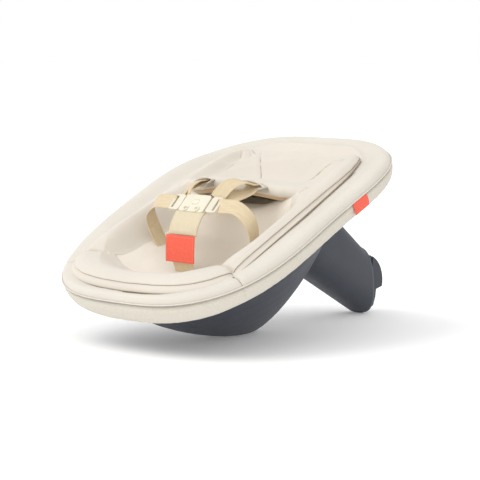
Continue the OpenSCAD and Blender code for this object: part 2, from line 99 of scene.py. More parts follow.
def even_angles(half, count):
    """Angles that give points evenly spaced along the oval, from the foot end round."""
    t = np.linspace(-math.pi / 2, 1.5 * math.pi, 4001)
    s = lengths(oval(t, half))
    return np.interp(np.linspace(0, s[-1], count, endpoint=False), s, t)


def spline(points, count, closed=False):
    """Catmull-Rom curve through points, resampled to evenly spaced points."""
    p = np.asarray(points, float)
    if closed:
        p = np.vstack([p[-1], p, p[0], p[1]])
    else:
        p = np.vstack([2 * p[0] - p[1], p, 2 * p[-1] - p[-2]])
    t = np.linspace(0, 1, 24, endpoint=False)[:, None]
    parts = []
    for a, b, c, d in zip(p[:-3], p[1:-2], p[2:-1], p[3:]):
        cubic = 3 * b - a - 3 * c + d
        square = 2 * a - 5 * b + 4 * c - d
        parts.append(0.5 * (2 * b + (c - a) * t + square * t**2 + cubic * t**3))
    dense = np.vstack(parts + [p[-2][None]])
    s = lengths(dense)
    at = np.linspace(0, s[-1], count, endpoint=not closed)
    return np.stack([np.interp(at, s, dense[:, k]) for k in range(dense.shape[1])], -1)


def ripple(a, b, wavelength, seed, waves=8):
    """Smooth random field, about -1 to 1, over two lengths in millimetres."""
    rng = np.random.default_rng(seed)
    total = np.zeros(np.broadcast(a, b).shape)
    for _ in range(waves):
        turn, phase = rng.uniform(0, FULL_TURN, 2)
        pitch = wavelength * rng.uniform(0.7, 1.6)
        total += np.sin((a * math.cos(turn) + b * math.sin(turn)) * FULL_TURN / pitch + phase)
    return total / math.sqrt(waves)


def groove(distance, depth, width):
    """Depth of a sewn line at a distance from it, sharp at the bottom."""
    return depth * np.exp(-np.abs(distance) / width)


def dish(x, v):
    """Height of the cover's inner face in the seat."""
    reach = np.where(v < -25, 240.0, 258.0)
    r = (x / 180) ** 2 + ((v + 25) / reach) ** 2
    return 4 - 66 * np.clip(1 - r, 0, None) ** 0.8


def half_at(v, a, b):
    """Half width at v of an oval a wide and b long, both from its middle."""
    return a * np.clip(1 - (np.abs(v) / b) ** OVAL_POWER, 0.001, None) ** (1 / OVAL_POWER)


# ---- mesh building -------------------------------------------------------------------


def new_object(name, points, faces, material, uvs=None):
    mesh = bpy.data.meshes.new(name)
    mesh.from_pydata([tuple(p) for p in points], [], faces)
    mesh.polygons.foreach_set("use_smooth", [True] * len(mesh.polygons))
    if uvs is not None:
        layer = mesh.uv_layers.new(name="cloth")
        layer.data.foreach_set("uv", np.asarray(uvs, np.float32).ravel())
    mesh.materials.append(material)
    mesh.update()
    obj = bpy.data.objects.new(name, mesh)
    bpy.context.scene.collection.objects.link(obj)
    return obj


def skin(name, grid, material, loop_rows=False, loop_cols=True, caps=True):
    """Closed skin over a grid of points in metres: rows run along, columns run round."""
    rows, cols = grid.shape[:2]
    along = np.concatenate([[0], np.cumsum(np.linalg.norm(
        np.roll(grid, -1, 0) - grid, axis=2).mean(1))])
    round_ = np.concatenate([[0], np.cumsum(np.linalg.norm(
        np.roll(grid, -1, 1) - grid, axis=2).mean(0))])
    faces, uvs = [], []
    for i in range(rows if loop_rows else rows - 1):
        k = (i + 1) % rows
        for j in range(cols if loop_cols else cols - 1):
            m = (j + 1) % cols
            faces.append((i * cols + j, k * cols + j, k * cols + m, i * cols + m))
            uvs += [
                (along[i], round_[j]), (along[i + 1], round_[j]),
                (along[i + 1], round_[j + 1]), (along[i], round_[j + 1]),
            ]
    if caps and loop_cols and not loop_rows:
        first = list(range(cols))
        last = [(rows - 1) * cols + j for j in range(cols - 1, -1, -1)]
        for face in (first, last):
            faces.append(tuple(face))
            uvs += [(along[face[0] // cols], round_[j % cols]) for j in face]
    return new_object(name, grid.reshape(-1, 3), faces, material, uvs)


def slab(name, top, bottom, material):
    """Padded sheet between two grids, closed round its edge by a short rounded lip."""
    middle = (top + bottom) / 2
    centre = top.reshape(-1, 3).mean(0)
    border = lambda g: np.vstack([g[0], g[1:, -1], g[-1, -2::-1], g[-2:0:-1, 0]])
    rows, cols = top.shape[:2]
    count = rows * cols
    index = np.arange(count).reshape(rows, cols)
    ring = border(index[..., None])[:, 0]
    lip = border(middle)
    inward = centre - lip
    inward /= np.linalg.norm(inward, axis=1)[:, None]
    thickness = np.linalg.norm(border(top) - border(bottom), axis=1)[:, None]
    lip = lip - inward * thickness * 0.35
    points = np.vstack([top.reshape(-1, 3), bottom.reshape(-1, 3), lip])
    faces, uvs = [], []
    for j in range(rows - 1):
        for i in range(cols - 1):
            a, b, c, d = index[j, i], index[j, i + 1], index[j + 1, i + 1], index[j + 1, i]
            faces.append((a, b, c, d))
            faces.append((count + a, count + d, count + c, count + b))
    edge = len(ring)
    for e in range(edge):
        p, q = ring[e], ring[(e + 1) % edge]
        lp, lq = 2 * count + e, 2 * count + (e + 1) % edge
        faces.append((q, p, lp, lq))
        faces.append((lq, lp, count + p, count + q))
    for face in faces:
        uvs += [(points[k][0], points[k][1]) for k in face]
    return new_object(name, points, [tuple(int(k) for k in f) for f in faces], material, uvs)


def frames(path, across):
    """Along, side and up directions at each point of a path."""
    along = np.gradient(path, axis=0)
    along /= np.linalg.norm(along, axis=1)[:, None]
    side = across - along * np.sum(along * across, 1)[:, None]
    side /= np.linalg.norm(side, axis=1)[:, None]
    return along, side, np.cross(side, along)


def webbing(name, way, across, width, material, count=90, thickness=1.9, sag=0.6):
    """Woven tape along a curve: slightly cupped, with a rounded selvedge."""
    path = spline(way, count)
    turn = np.linspace(0, len(across) - 1, count)
    keys = np.asarray(across, float)
    side_hint = np.stack(
        [np.interp(turn, range(len(keys)), keys[:, k]) for k in range(3)], -1)
    _, side, up = frames(path, side_hint)
    half = width / 2
    shape = [
        (-1, 0), (-0.985, 0.42), (-0.93, 0.56), (-0.86, 0.46), (-0.6, 0.5), (-0.3, 0.5),
        (0, 0.5), (0.3, 0.5), (0.6, 0.5), (0.86, 0.46), (0.93, 0.56), (0.985, 0.42), (1, 0),
        (0.985, -0.42), (0.93, -0.56), (0.86, -0.46), (0.6, -0.5), (0.3, -0.5), (0, -0.5),
        (-0.3, -0.5), (-0.6, -0.5), (-0.86, -0.46), (-0.93, -0.56), (-0.985, -0.42),
    ]
    s = lengths(path)
    grid = np.empty((count, len(shape), 3))
    for k, (a, b) in enumerate(shape):
        cup = sag * (a * a - 0.4) + 0.25 * ripple(s, a * half, 60, 5)
        grid[:, k] = path + side * (a * half) + up * (b * thickness + cup)[:, None]
    return skin(name, seat(grid)[:, ::-1], material)


def stitches(name, path, up, material, pitch=4.2, length=2.9, radius=0.34):
    """Row of thread stitches along a path in rim-frame millimetres."""
    s = lengths(path)
    count = max(2, int(s[-1] / pitch))
    mids = (np.arange(count) + 0.5) * s[-1] / count
    points, faces = [], []
    corners = 6
    rings = [(-0.5, 0.25), (-0.38, 0.8), (0, 1.0), (0.38, 0.8), (0.5, 0.25)]
    at = lambda d, data: np.array([np.interp(d, s, data[:, k]) for k in range(3)])
    for m in mids:
        a, b = at(m - length / 2, path), at(m + length / 2, path)
        along = (b - a) / np.linalg.norm(b - a)
        out = at(m, up)
        out = out - along * np.dot(out, along)
        out /= np.linalg.norm(out)
        side = np.cross(along, out)
        base = len(points)
        for f, r in rings:
            arch = radius * (1.1 - 2.6 * f * f)
            centre = at(m, path) + along * f * length + out * arch
            for c in range(corners):
                w = FULL_TURN * c / corners
                points.append(centre + (side * math.cos(w) + out * math.sin(w)) * radius * r)
        for j in range(len(rings) - 1):
            for c in range(corners):
                d = (c + 1) % corners
                p = base + j * corners
                faces.append((p + c, p + d, p + corners + d, p + corners + c))
        faces.append(tuple(base + c for c in range(corners - 1, -1, -1)))
        faces.append(tuple(base + (len(rings) - 1) * corners + c for c in range(corners)))
    return new_object(name, seat(np.array(points)), faces, material)


# ---- materials -----------------------------------------------------------------------


class Finish:
    """A Principled material built node by node."""

    def __init__(self, name, roughness, **constants):
        self.material = bpy.data.materials.new(name)
        self.material.use_nodes = True
        self.tree = self.material.node_tree
        self.shader = self.tree.nodes["Principled BSDF"]
        self.shader.inputs["Roughness"].default_value = roughness
        for key, value in constants.items():
            self.shader.inputs[key.replace("_", " ")].default_value = value
        self.coords = self.tree.nodes.new("ShaderNodeTexCoord")
        self.height = None

    def link(self, a, b):
        self.tree.links.new(a, b)

    def node(self, kind, **values):
        made = self.tree.nodes.new(kind)
        for key, value in values.items():
            if hasattr(made, key):
                setattr(made, key, value)
            else:
                made.inputs[key.replace("_", " ")].default_value = value
        return made

    def placed(self, scale, source="Object", turn=(0, 0, 0)):
        mapping = self.node("ShaderNodeMapping")
        mapping.inputs["Scale"].default_value = scale
        mapping.inputs["Rotation"].default_value = turn
        self.link(self.coords.outputs[source], mapping.inputs["Vector"])
        return mapping.outputs["Vector"]

    def noise(self, scale, detail=3.0, roughness=0.55, stretch=(1, 1, 1), source="Object"):
        made = self.node("ShaderNodeTexNoise", Detail=detail, Roughness=roughness, Scale=scale)
        self.link(self.placed(stretch, source), made.inputs["Vector"])
        return made.outputs["Fac"]

    def wave(self, scale, axis, source="Object", distortion=0.0, turn=(0, 0, 0)):
        made = self.node(
            "ShaderNodeTexWave", Scale=scale, Distortion=distortion, bands_direction=axis)
        self.link(self.placed((1, 1, 1), source, turn), made.inputs["Vector"])
        return made.outputs["Fac"]

    def math(self, operation, a, b):
        made = self.node("ShaderNodeMath", operation=operation)
        for socket, value in zip(made.inputs, (a, b)):
            if isinstance(value, (int, float)):
                socket.default_value = value
            else:
                self.link(value, socket)
        return made.outputs[0]

    def ramp(self, factor, stops):
        made = self.node("ShaderNodeValToRGB")
        elements = made.color_ramp.elements
        while len(elements) < len(stops):
            elements.new(0.5)
        for element, (place, colour) in zip(elements, stops):
            element.position = place
            element.color = (*colour, 1)
        self.link(factor, made.inputs["Fac"])
        return made.outputs["Color"]

    def colour(self, factor, stops):
        self.link(self.ramp(factor, stops), self.shader.inputs["Base Color"])

    def bump(self, height, strength, distance):
        made = self.node("ShaderNodeBump", Strength=strength, Distance=distance)
        self.link(height, made.inputs["Height"])
        if self.height is not None:
            self.link(self.height, made.inputs["Normal"])
        self.height = made.outputs["Normal"]
        self.link(self.height, self.shader.inputs["Normal"])


def shade(colour, factor):
    return tuple(min(c * factor, 1.0) for c in colour)


def knit(name, colour):
    """Soft warp-knit cloth over wadding: fine ribs, a little fuzz, slow tone changes."""
    made = Finish(name, 0.86, Sheen_Weight=0.22, Sheen_Roughness=0.5, Specular_IOR_Level=0.25)
    tone = made.noise(9.0, detail=4.0)
    grain = made.noise(700.0, detail=2.0)
    both = made.math("ADD", made.math("MULTIPLY", tone, 0.7), made.math("MULTIPLY", grain, 0.3))
    made.colour(both, [(0.3, shade(colour, 0.95)), (0.7, shade(colour, 1.03))])
    ribs = made.math(
        "ADD", made.wave(420, "X", distortion=0.6), made.wave(420, "Y", distortion=0.6))
    made.bump(ribs, 0.16, 0.0004)
    made.bump(made.noise(60.0, detail=5.0), 0.10, 0.002)
    return made.material


def heather(name, colour):
    """Melange canvas: crossed yarns of three shades and slubs."""
    made = Finish(name, 0.9, Sheen_Weight=0.12, Specular_IOR_Level=0.2)
    warp = made.noise(1.0, detail=3.0, stretch=(160, 1400, 1), source="UV")
    weft = made.noise(1.0, detail=3.0, stretch=(1400, 160, 1), source="UV")
    yarns = made.math("MULTIPLY", made.math("ADD", warp, weft), 0.5)
    made.colour(yarns, [
        (0.36, shade(colour, 0.88)), (0.46, shade(colour, 0.96)),
        (0.54, shade(colour, 1.01)), (0.64, shade(colour, 1.07))])
    weave = made.math(
        "MAXIMUM", made.wave(260, "X", source="UV"), made.wave(260, "Y", source="UV"))
    made.bump(weave, 0.35, 0.0005)
    made.bump(yarns, 0.25, 0.0008)
    return made.material


def tape(name, colour, deep):
    """Woven polyester tape: ribs across its length and a herringbone of shine."""
    made = Finish(name, 0.62, Sheen_Weight=0.1, Specular_IOR_Level=0.35)
    ribs = made.wave(330, "X", source="UV", distortion=0.15)
    twill = made.wave(210, "X", source="UV", turn=(0, 0, 0.8))
    tone = made.noise(1.0, detail=3.0, stretch=(40, 500, 1), source="UV")
    both = made.math("ADD", made.math("MULTIPLY", ribs, 0.25), made.math("MULTIPLY", tone, 0.75))
    made.colour(both, [(0.25, deep), (0.75, colour)])
    made.bump(ribs, 0.45, 0.0006)
    made.bump(twill, 0.15, 0.0004)
    return made.material


def moulded(name, colour, roughness, grain, scale):
    """Moulded plastic with a fine spark-eroded texture."""
    made = Finish(name, roughness, Specular_IOR_Level=0.45)
    tone = made.noise(14.0, detail=4.0)
    made.colour(tone, [(0.3, shade(colour, 0.93)), (0.7, shade(colour, 1.07))])
    rough = made.math("MULTIPLY_ADD", made.noise(45.0, detail=3.0), 0.12)
    rough.node.inputs[2].default_value = roughness - 0.06
    made.link(rough, made.shader.inputs["Roughness"])
    made.bump(made.noise(scale, detail=2.0), grain, 0.0004)
    return made.material


def brushed(name, colour):
    made = Finish(name, 0.32, Metallic=1.0)
    lines = made.noise(1.0, detail=4.0, stretch=(900, 30, 900))
    made.colour(lines, [(0.3, shade(colour, 0.85)), (0.7, colour)])
    made.bump(lines, 0.2, 0.0002)
    return made.material


def woven_label(name, colour):
    """Satin-woven label: very fine crossed threads."""
    made = Finish(name, 0.7, Sheen_Weight=0.15, Specular_IOR_Level=0.3)
    tone = made.noise(220.0, detail=3.0)
    made.colour(tone, [(0.3, shade(colour, 0.9)), (0.7, shade(colour, 1.06))])
    weave = made.math("ADD", made.wave(500, "X"), made.wave(500, "Z"))
    made.bump(weave, 0.25, 0.0003)
    return made.material


CREAM = (0.69, 0.643, 0.568)
COVER = knit("cover_knit", CREAM)
INSERT = knit("insert_knit", (0.695, 0.642, 0.563))
# Lighter than the lip's knit: painted light, so the shaded inside of the seat shows as bright as
# the lip.
LINER_PAINTED_LIGHT = knit("liner_knit_painted_light", (0.80, 0.738, 0.648))
LINING = knit("lining_knit", (0.71, 0.655, 0.57))
CANVAS = heather("cover_canvas", (0.68, 0.635, 0.548))
TAPE = tape("harness_tape", (0.79, 0.685, 0.49), (0.66, 0.50, 0.29))
# Tan colours of the strip under the yoke's edge: painted shade.
YOKE_SHADE = tape("painted_shade_tape", (0.66, 0.49, 0.31), (0.54, 0.38, 0.22))
# Colour of the dark cords laid in seams: painted shade, not a thread colour.
SEAM_SHADE = moulded("seam_painted_shade", (0.34, 0.27, 0.19), 0.85, 0.2, 2500.0)
TAPE_PALE = tape("crotch_tape_pale", (0.76, 0.67, 0.49), (0.68, 0.58, 0.39))
SHELL = moulded("shell_plastic", (0.040, 0.046, 0.062), 0.46, 0.22, 900.0)
# Lighter than the shell: painted highlight along the neck's end lip.
SHELL_LIP_HIGHLIGHT = moulded("shell_lip_painted_highlight", (0.085, 0.094, 0.115), 0.46, 0.22, 900.0)
# Darker than the shell: painted shade in the gap behind the collar.
SHELL_PLUG_SHADE = moulded("plug_painted_shade", (0.036, 0.042, 0.056), 0.46, 0.22, 900.0)
BUCKLE = moulded("buckle_plastic", (0.735, 0.69, 0.56), 0.38, 0.05, 900.0)
LABEL = woven_label("coral_label", (0.90, 0.13, 0.075))
LABEL_THREAD = moulded("coral_thread", (0.95, 0.36, 0.27), 0.7, 0.3, 2500.0)
STEEL = brushed("steel", (0.62, 0.63, 0.65))
# Near-black for the plug pin: painted shade of the hole it sits in.
PIN_SHADE = moulded("pin_painted_shade", (0.008, 0.008, 0.009), 0.5, 0.1, 900.0)


def finish_node(name, material):
    """Give a CAD node that stays its material."""
    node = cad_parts[name]
    node.data.materials.clear()
    node.data.materials.append(material)
    return node


def done(obj, body="seat", replaces=()):
    """Put a new piece on its body and hide the CAD nodes it replaces."""
    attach(obj, body)
    if replaces:
        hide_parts(*replaces)
    return obj


def seam_shade_line(name, path, radius=0.75):
    """Painted shade along a seam: a thin dark cord laid in it where shade falls between two panels.
    """
    _, side, up = frames(path, np.tile([0.3, 0.2, 1.0], (len(path), 1)))
    turn = np.linspace(0, FULL_TURN, 8, endpoint=False)
    grid = path[:, None] + radius * (side[:, None] * np.cos(turn)[None, :, None]
                                     + up[:, None] * np.sin(turn)[None, :, None])
    return skin(name, seat(grid), SEAM_SHADE)


# ---- padded cover --------------------------------------------------------------------

# Stations round the rim, and the angles of the seams across its two foot corners
STATIONS = 460
CORNER_SEAMS = (math.radians(-35.5), math.radians(219))
# Distances from a corner seam at which the rim gets extra stations
SEAM_STEPS = (0.6, 1.2, 2.0, 3.0, 4.3, 6.0, 8.0)


def rim_angles():
    """Evenly spaced stations round the rim, with extra ones beside each corner seam."""
    even = even_angles(RIM_HALF, STATIONS)
    s = lengths(oval(even, RIM_HALF))
    extra = []
    for seam in CORNER_SEAMS:
        place = np.interp(seam, even, s)
        steps = np.array(SEAM_STEPS)
        extra.append(np.interp(place + np.concatenate([-steps, [0], steps]), s, even))
    return np.unique(np.concatenate([even] + extra))


ANGLES = rim_angles()
# How far the padded rim rises over its plane, and the height of its inner edge, along v
BEND = spline([
    (-300, 1), (-200, -1), (-125, 1), (-54, 5), (10, 8), (70, 8), (120, 6), (165, 3),
    (205, -1), (235, -3.5), (262, -6.5), (300, -11),
], 200)
INNER_EDGE = spline([
    (-276, 5.5), (-200, 6.5), (-100, 8), (0, 8.5), (100, 8.5), (170, 7), (220, 3.5), (276, -2),
], 200)


def bend(v):
    """Height of the padded rim over its plane."""
    return np.interp(v, BEND[:, 0], BEND[:, 1])


def inner_edge(v):
    """Height of the band where the insert meets it."""
    return np.interp(v, INNER_EDGE[:, 0], INNER_EDGE[:, 1])


RIM_LINE = oval(ANGLES, RIM_HALF)
RIM_AT = lengths(np.vstack([RIM_LINE, RIM_LINE[:1]]))


def ring_distance(angle):
    """Signed distance round the rim from a given angle to each station."""
    full = RIM_AT[-1]
    centre = np.interp(angle, ANGLES, RIM_AT[:-1])
    return (RIM_AT[:-1] - centre + full / 2) % full - full / 2


SEAM_NEAR = np.min([np.abs(ring_distance(a)) for a in CORNER_SEAMS], axis=0)


def cover_band():
    """Padded band on top of the rim, and dark painted-shade cords across its foot corners."""
    outline = spline([
        (0.0, -1.9), (0.0, 0.8), (0.025, 5.4), (0.075, 9.4), (0.16, 12.1), (0.27, 13.0),
        (0.42, 12.4), (0.62, 10.4), (0.82, 7.6), (1.0, 6.0), (1.2, 5.3), (1.34, 4.9),
        (1.36, 4.3), (1.3, 3.9), (1.12, 3.6), (1.07, 1.0), (1.05, -3.5),
        (0.98, -6.9), (0.8, -8.2), (0.5, -8.4), (0.26, -7.6), (0.19, -2.2),
        (0.1, -2.1),
    ], 66, closed=True)
    f, n = outline[:, 0][None], outline[:, 1][None]
    v = RIM_LINE[:, 1][:, None]
    upper = smooth((n + 7) / 7)
    settle = smooth((f - 0.35) / 0.6)
    n = n + upper * mix(bend(v), inner_edge(v) - 5.6, settle)
    n = np.maximum(n, -8.6)
    seam = oval(ANGLES, RIM_HALF)[:, None]
    opening = oval(ANGLES, OPENING_HALF)[:, None]
    plan = mix(seam, opening, f[..., None])
    s = RIM_AT[:-1][:, None]
    top = smooth((outline[:, 1][None] + 1) / 5)
    drawn = groove(SEAM_NEAR, 5.0, 2.6)[:, None] * top
    puff = 0.9 * np.exp(-((SEAM_NEAR - 12) / 9) ** 2)[:, None] * top
    edge = np.exp(-(f / 0.10) ** 2) + 0.6 * np.exp(-((1 - f) / 0.12) ** 2)
    height = n - drawn + puff
    height = height + top * (0.35 * ripple(s, f * 52, 26, 11) * edge)
    height = height + top * 0.8 * ripple(s, f * 52, 150, 12)
    grid = np.concatenate([plan, np.broadcast_to(height[..., None], plan.shape[:2] + (1,))], -1)
    on_top = np.where((outline[:, 1] > 2.0) & (outline[:, 0] < 1.2))[0]
    seam_shades = []
    for angle, word in zip(CORNER_SEAMS, ("right", "left")):
        station = np.argmin(np.abs(ring_distance(angle)))
        # A dark cord along each corner seam: painted shade.
        path = spline(grid[station, on_top][::2] + np.array([0, 0, 0.2]), 70)
        seam_shades.append(seam_shade_line(f"corner_seam_shade_{word}", path, 0.7))
    return skin("cover_band", seat(grid), COVER, loop_rows=True), seam_shades


def skirt_drop(t):
    """Depth of the canvas band, deeper at the foot end."""
    return 30 + 12 * np.clip(-np.sin(t), 0, None) ** 3


def outside(t, d, n):
    """Point d outside the piping seam at angle t."""
    base = oval(t, RIM_HALF)
    rise = bend(base[:, 1])[:, None]
    wide = oval(t, (RIM_HALF[0] + 1, RIM_HALF[1] + 1)) - base
    return np.concatenate([base[:, None] + wide[:, None] * d[..., None],
                           (np.broadcast_to(n, d.shape) + rise)[..., None]], -1)


def cover_skirt():
    """Lower canvas band, turned in under its gathered hem."""
    outer = spline([
        (0.6, -0.02), (1.0, -0.12), (0.7, -0.3), (-0.6, -0.52), (-2.8, -0.74), (-6.4, -0.92),
        (-11.5, -1.03), (-17, -1.1), (-20.5, -1.14), (-22.4, -1.08), (-22.0, -1.0),
    ], 26)
    inner = spline([
        (-19, -1.0), (-14, -0.99), (-9.5, -0.93), (-5.6, -0.78), (-3.2, -0.55), (-1.6, -0.3),
        (-1.0, -0.1),
    ], 14)
    outline = np.vstack([outer, inner])
    t = ANGLES[:, None]
    drop = skirt_drop(t)
    n = outline[:, 1][None] * drop
    depth = smooth((-outline[:, 1][None] - 0.5) / 0.6)
    s = RIM_AT[:-1][:, None]
    gather = ripple(s, 0 * s, 11, 21) + 0.5 * ripple(s, 0 * s, 6, 22)
    d = outline[:, 0][None] + depth * 0.22 * gather
    n = n + depth * 0.2 * ripple(s, 0 * s, 40, 23)
    d = d - groove(SEAM_NEAR, 1.1, 1.8)[:, None] * (1 - depth)
    d = d + 0.5 * ripple(s, n, 120, 24)
    return skin("cover_skirt_cloth", seat(outside(ANGLES, d, n)), CANVAS, loop_rows=True)


def cover_piping():
    """Thin piping cord in the seam between the two bands."""
    turn = np.linspace(0, FULL_TURN, 12, endpoint=False)[None]
    s = RIM_AT[:-1][:, None]
    radius = 1.25 + 0.06 * ripple(s, 0 * s, 9, 31)
    d = 1.3 + radius * np.cos(-turn)
    n = radius * np.sin(-turn)
    return skin("cover_piping_cord", seat(outside(ANGLES, d, n)), COVER, loop_rows=True)


def lining(name, low, high):
    """Half of the cover's lining, under the insert."""
    v = np.linspace(low, high, 60)[:, None]
    across = np.linspace(-1, 1, 80)[None]
    x = across * half_at(v, 183, 272)
    wave = 0.5 * ripple(x, v, 70, 41) * np.clip(1 - across**4, 0, 1)
    top = np.stack([x, v + 0 * x, dish(x, v) - 0.6 + wave], -1)
    bottom = np.stack([x, v + 0 * x, dish(x, v) - 6], -1)
    return slab(name, seat(top), seat(bottom), LINING)


band, corner_seam_shades = cover_band()
done(band, replaces=["cover_rim"])
for corner_seam_shade in corner_seam_shades:
    done(corner_seam_shade)
skirt = done(cover_skirt(), replaces=["cover_skirt"])
done(cover_piping(), replaces=["cover_piping"])
done(lining("seat_lining", -268, -20.5), replaces=["seat_panel"])
done(lining("back_lining", -19.5, 268), replaces=["back_panel"])

# ---- newborn insert ------------------------------------------------------------------

# Outer edge of the insert on the cover, right half, from the wing beside the head round to
# the foot, each point with the point that the padded lip leans towards.
EDGE_WAY = [
    (92, 192, 114, 176), (107, 212, 119, 182), (126, 222, 124, 186),
    (139, 216, 122, 184), (150, 203, 118, 178), (165, 160, 108, 150),
    (174, 100, 100, 96), (181, 0, 80, -2), (185, -100, 80, -98), (187, -160, 100, -140),
    (186, -196, 112, -152), (177, -222, 112, -160), (156, -246, 105, -170),
    (120, -264, 90, -180), (70, -274, 55, -190), (0, -278, 0, -190),
]
# Along the lip: v, inset and height of the seam, inset and height of the crest, inner reach
LIP_V = [-278, -240, -200, -100, 0, 80, 140, 190, 225]
SEAM_INSET = [10, 10, 8, 7, 7, 6, 4, 2, 2]
SEAM_HEIGHT = [18.5, 18.5, 18, 18, 18, 17, 14.5, 11, 8]
CREST_INSET = [30, 28, 22, 19, 21, 27, 25, 20, 16]
CREST_HEIGHT = [26, 26, 26, 26, 26, 26, 25, 22, 17]
LIP_REACH = [92, 84, 66, 58, 56, 50, 46, 38, 34]
CORNER_SEAM = ((174, -190), (104, -163))
INSERT_END = 130.0


def insert_crease(x, v):
    """Drawn-in seams across the two foot corners of the insert."""
    start, end = np.array(CORNER_SEAM, float)
    axis = (end - start) / np.linalg.norm(end - start)
    run = (np.abs(x) - start[0]) * axis[0] + (v - start[1]) * axis[1]
    off = (np.abs(x) - start[0]) * axis[1] - (v - start[1]) * axis[0]
    strength = mix(1.0, 0.35, smooth(run / 50)) * smooth((82 - run) / 30)
    return strength * (groove(off, 8.5, 2.4) + groove(off, 7.0, 13))


def insert_base(x, v):
    """Top of the insert's flat part, lying in the dish.

    Under the yoke it stands up to 27 mm above insert_pad: back * 16 is the CAD's height.
    """
    back = smooth((v + 10) / 60) * (1 - smooth((v - 60) / 50))
    back = back * (35 + 8 * smooth((np.abs(x) - 20) / 60))
    lift = 12 + back - 5 * smooth((v - 40) / 40)
    return dish(x, v) + lift + 0.7 * ripple(x, v, 90, 51) + 0.3 * ripple(x, v, 34, 52)


def insert_lip():
    """Padded lip round the insert: boxing below its seam, and a top that rolls inwards."""
    half = spline(EDGE_WAY, 420)
    full = np.vstack([half, half[-2::-1] * [-1, 1, -1, 1]])
    edge, aim = full[:, :2], full[:, 2:]
    inward = aim - edge
    inward /= np.linalg.norm(inward, axis=1)[:, None]
    along_v = edge[:, 1]
    at = lambda values: np.interp(along_v, LIP_V, values)
    seam_d, seam_n = at(SEAM_INSET), at(SEAM_HEIGHT)
    crest_d, crest_n, reach = at(CREST_INSET), at(CREST_HEIGHT), at(LIP_REACH)
    s = lengths(edge)
    end = np.minimum(s, s[-1] - s)
    grow = np.clip(1 - (1 - np.clip(end / 9, 0, 1)) ** 2.4, 0.02, 1) ** 0.5
    crest_n = crest_n + 0.8 * ripple(s, 0 * s, 120, 61)
    rise = smooth((end - 6) / 56)
    crest = edge + inward * crest_d[:, None]
    on_pad = head_surface(crest[:, 0], crest[:, 1])[0] - 0.6
    crest_n = mix(on_pad, crest_n, rise)
    beside = head_surface(edge[:, 0], edge[:, 1])[0] - 4.0
    seam_n = mix(beside + 1.5, seam_n, rise)
    contact = mix(beside, inner_edge(along_v) + 0.4, rise)
    sections = []
    for k in range(len(s)):
        ds, ns, dc, nc = seam_d[k], seam_n[k], crest_d[k], crest_n[k]
        rest = contact[k]
        lower = spline([(8, rest - 0.6), (3.2, rest + 0.2), (0.4, rest + 2.2), (-0.4, rest + 4.6),
                        (mix(0, ds, 0.35), ns - 3.4), (ds + 0.6, ns - 0.1)], 20)
        upper = spline([(ds + 0.6, ns + 0.1), (ds - 0.6, ns + 2.2), (mix(ds, dc, 0.34), nc - 2.6),
                        (mix(ds, dc, 0.7), nc - 0.4), (dc, nc)], 18)[1:]
        run = np.linspace(0, 1, 34)[1:]
        d = mix(dc, reach[k], run)
        plan = edge[k] + inward[k] * d[:, None]
        floor = insert_base(plan[:, 0], plan[:, 1])
        if along_v[k] > 60:
            pad = head_surface(plan[:, 0], plan[:, 1])[0]
            floor = mix(floor, pad, smooth((along_v[k] - 60) / 40))
        slope = floor + 0.4 + (nc - floor) * (1 - smooth(run ** 0.9))
        inner = np.stack([d, slope], -1)
        tail_n = slope[-1]
        under = np.array([(reach[k] + 1.5, tail_n - 2.5), (reach[k] - 8, tail_n - 4),
                          (mix(reach[k], 8, 0.35), mix(tail_n, 8.4, 0.35) - 3),
                          (mix(reach[k], 8, 0.7), mix(tail_n, rest, 0.7) - 2), (9, rest)])
        section = np.vstack([lower, upper, inner, under])
        middle = np.array([mix(0, reach[k], 0.4), ns])
        section = middle + (section - middle) * grow[k]
        sections.append(section)
    sections = np.array(sections)
    d, n = sections[..., 0], sections[..., 1]
    plan = edge[:, None] + inward[:, None] * d[..., None]
    notch = insert_crease(plan[..., 0], plan[..., 1])
    outer = smooth((30 - d) / 24)
    n = n - notch * smooth((n - 7) / 9)
    plan = plan + inward[:, None] * (0.55 * notch * outer)[..., None]
    seam_soft = np.exp(-((n - seam_n[:, None]) / 4) ** 2) * outer
    plan = plan + inward[:, None] * (0.3 * ripple(s[:, None], n, 20, 62) * seam_soft)[..., None]
    grid = np.concatenate([plan, n[..., None]], -1)
    # Dark cords along the lip's seam and along the crevice where the lip meets the band: painted
    # shade.
    sewn = np.where(end > 52)[0]
    seam = seam_shade_line("insert_seam_shade", grid[sewn, 19] + np.array([0, 0, 0.15]))
    contact_shade_way = edge + inward * 0.2
    contact_shade_way = np.column_stack([contact_shade_way, contact + 1.0])[sewn]
    hem = seam_shade_line("insert_contact_shade", contact_shade_way, 0.8)
    return skin("insert_lip", seat(grid), INSERT), [seam, hem]


